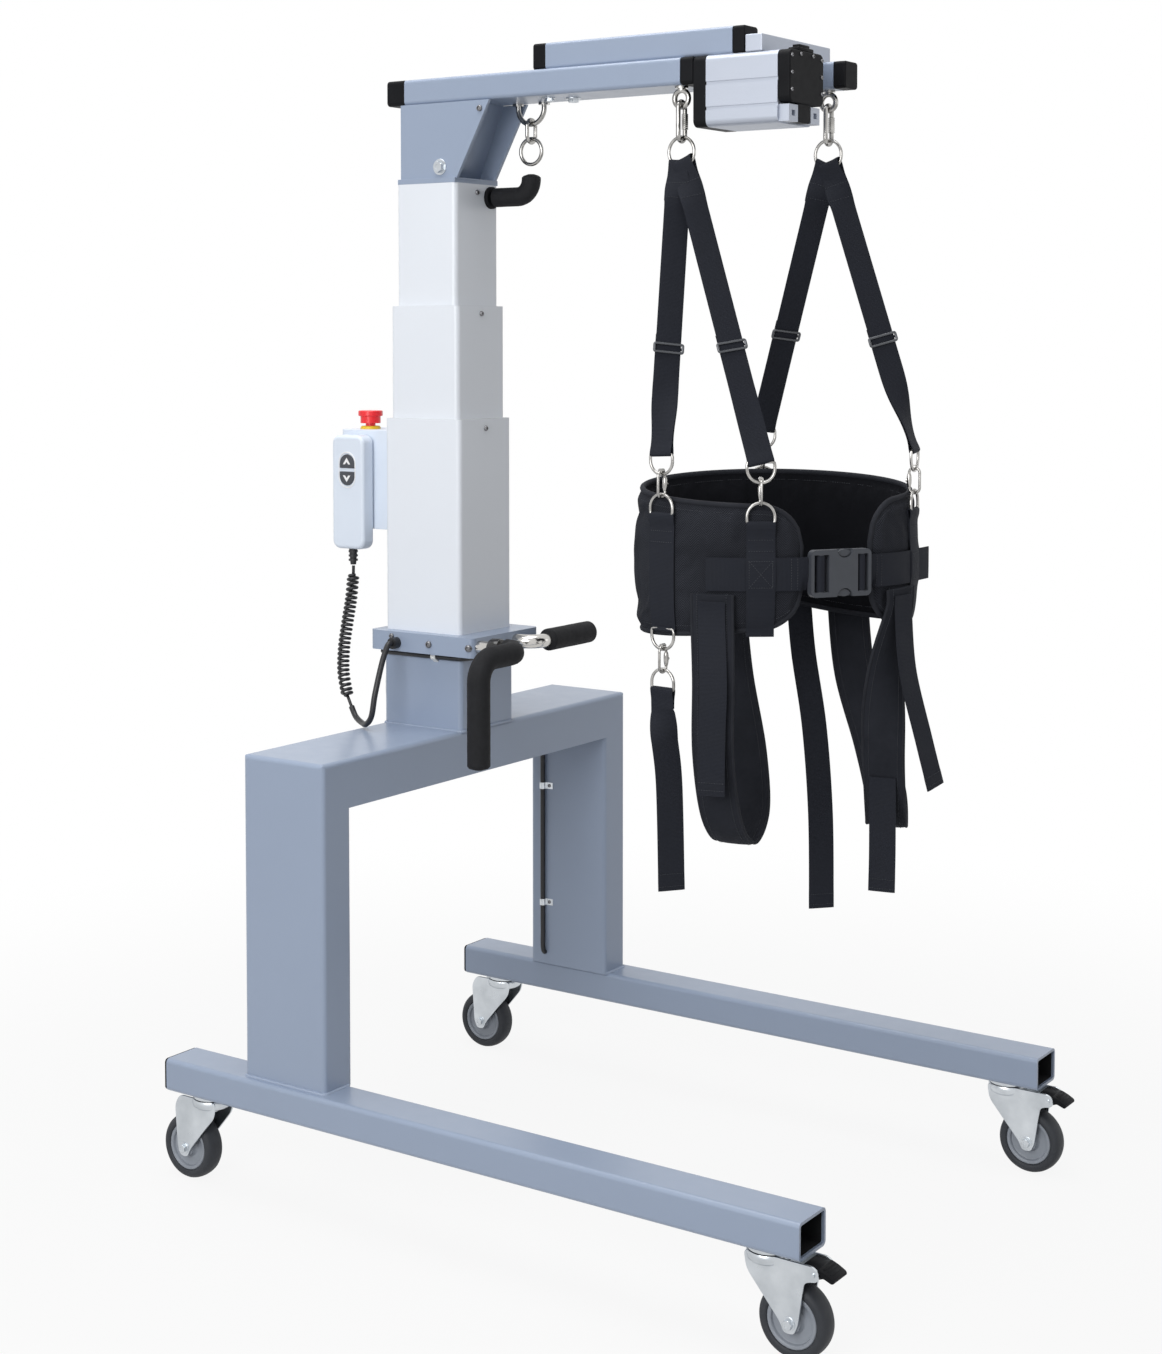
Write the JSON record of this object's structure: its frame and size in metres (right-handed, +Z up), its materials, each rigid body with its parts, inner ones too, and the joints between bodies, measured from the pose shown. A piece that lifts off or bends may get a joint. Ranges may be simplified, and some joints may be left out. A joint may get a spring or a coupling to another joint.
{
  "type": "body weight support system",
  "caption": "Wheeled gait trainer frame with a telescopic column, an overhead boom and a hanging padded belt harness.",
  "frame": {"origin": "centre of the bounding box on the floor", "axes": "+Z up, -Y to the open front where the legs end, -X to the side with the handset"},
  "size_m": [0.82, 1.166, 1.735],
  "materials": {
    "frame_paint": "satin blue-grey powder coat",
    "column_white": "satin white powder coat",
    "black_plastic": "satin moulded",
    "box_plastic": "fine grained light grey",
    "key_rubber": "matt",
    "stop_red": "glossy red",
    "foam": "matt closed cell foam",
    "bright_metal": "bright nickel",
    "zinc": "bright zinc",
    "machine_steel": "plain steel",
    "drive_metal": "satin anodised",
    "wheel_grey": "dark grey tread on a grey hub",
    "cord_black": "soft black sheath",
    "webbing": "black woven webbing",
    "pad_cloth": "black padded cloth"
  },
  "bodies": {
    "base": {"near_leg": "frame_paint", "far_leg": "frame_paint", "leg_plugs": "black_plastic", "near_upright": "frame_paint", "far_upright": "frame_paint", "crossbeam": "frame_paint", "column_socket": "frame_paint", "collar": "frame_paint", "lower_stage": "column_white", "lift_motor": "machine_steel", "lift_screw": "machine_steel", "near_handle": "bright_metal", "near_grip": "foam", "far_handle": "bright_metal", "far_grip": "foam", "control_box": "box_plastic", "handset": "box_plastic", "cord_relief": "cord_black", "curly_cord": "cord_black", "cord_lead": "cord_black", "cord_gland": "cord_black", "cables": "cord_black", "caster_heads": "zinc"},
    "middle": {"middle_stage": "column_white"},
    "upper": {"upper_stage": "column_white", "head_bracket": "frame_paint", "boom": "frame_paint", "extension_tube": "frame_paint", "tube_caps": "black_plastic", "drive_body": "drive_metal", "drive_covers": "black_plastic", "cross_bar": "drive_metal", "far_tube": "frame_paint", "hook_eyes": "bright_metal", "tether": "bright_metal", "padded_arm": "foam"},
    "harness": {"carabiners": "bright_metal", "top_rings": "bright_metal", "suspension_straps": "webbing", "strap_adjusters": "black_plastic", "strap_hardware": "bright_metal", "belt_pad": "pad_cloth", "waist_strap": "webbing", "buckle": "black_plastic", "near_leg_loop": "webbing", "far_leg_loop": "webbing", "webbing_tails": "webbing"},
    "stop": {"stop_button": "stop_red"},
    "up_press": {"up_key": "key_rubber"},
    "down_press": {"down_key": "key_rubber"},
    "near_front_swivel": {"near_front_fork": "zinc"},
    "far_front_swivel": {"far_front_fork": "zinc"},
    "near_rear_swivel": {"near_rear_fork": "zinc"},
    "far_rear_swivel": {"far_rear_fork": "zinc"},
    "near_front_roll": {"near_front_wheel": "wheel_grey"},
    "far_front_roll": {"far_front_wheel": "wheel_grey"},
    "near_rear_roll": {"near_rear_wheel": "wheel_grey"},
    "far_rear_roll": {"far_rear_wheel": "wheel_grey"},
    "near_brake_lever": {"near_brake": "black_plastic"},
    "far_brake_lever": {"far_brake": "black_plastic"}
  },
  "joints": [
    {"name": "lift_middle", "type": "slide", "parent": "base", "child": "middle", "axis": [0, 0, 1], "range_m": [-0.15, 0.14]},
    {"name": "lift_upper", "type": "slide", "parent": "middle", "child": "upper", "axis": [0, 0, 1], "range_m": [-0.15, 0.14]},
    {"name": "harness_swing", "type": "hinge", "parent": "upper", "child": "harness", "pos_m": [0.055, -0.2065, 1.625], "axis": [0.7477, -0.6641, 0], "range_deg": [-10, 10]},
    {"name": "stop_press", "type": "slide", "parent": "base", "child": "stop", "axis": [0, 0, -1], "range_m": [0, 0.004]},
    {"name": "up_key_press", "type": "slide", "parent": "base", "child": "up_press", "axis": [1, 0, 0], "range_m": [0, 0.0012]},
    {"name": "down_key_press", "type": "slide", "parent": "base", "child": "down_press", "axis": [1, 0, 0], "range_m": [0, 0.0012]},
    {"name": "near_front_swivel", "type": "hinge", "parent": "base", "child": "near_front_swivel", "pos_m": [-0.375, -0.481, 0.1327], "axis": [0, 0, 1], "continuous": true},
    {"name": "near_front_spin", "type": "hinge", "parent": "near_front_swivel", "child": "near_front_roll", "pos_m": [-0.375, -0.521, 0.05], "axis": [1, 0, 0], "continuous": true},
    {"name": "near_brake_press", "type": "hinge", "parent": "near_front_swivel", "child": "near_brake_lever", "pos_m": [-0.375, -0.555, 0.1207], "axis": [1, 0, 0], "range_deg": [0, 12]},
    {"name": "near_rear_swivel", "type": "hinge", "parent": "base", "child": "near_rear_swivel", "pos_m": [-0.375, 0.493, 0.1327], "axis": [0, 0, 1], "continuous": true},
    {"name": "near_rear_spin", "type": "hinge", "parent": "near_rear_swivel", "child": "near_rear_roll", "pos_m": [-0.375, 0.533, 0.05], "axis": [1, 0, 0], "continuous": true},
    {"name": "far_front_swivel", "type": "hinge", "parent": "base", "child": "far_front_swivel", "pos_m": [0.375, -0.481, 0.1327], "axis": [0, 0, 1], "continuous": true},
    {"name": "far_front_spin", "type": "hinge", "parent": "far_front_swivel", "child": "far_front_roll", "pos_m": [0.375, -0.521, 0.05], "axis": [1, 0, 0], "continuous": true},
    {"name": "far_brake_press", "type": "hinge", "parent": "far_front_swivel", "child": "far_brake_lever", "pos_m": [0.375, -0.555, 0.1207], "axis": [1, 0, 0], "range_deg": [0, 12]},
    {"name": "far_rear_swivel", "type": "hinge", "parent": "base", "child": "far_rear_swivel", "pos_m": [0.375, 0.493, 0.1327], "axis": [0, 0, 1], "continuous": true},
    {"name": "far_rear_spin", "type": "hinge", "parent": "far_rear_swivel", "child": "far_rear_roll", "pos_m": [0.375, 0.533, 0.05], "axis": [1, 0, 0], "continuous": true}
  ],
  "couplings": [
    {"joint": "lift_upper", "follows": "lift_middle", "ratio": 1}
  ]
}
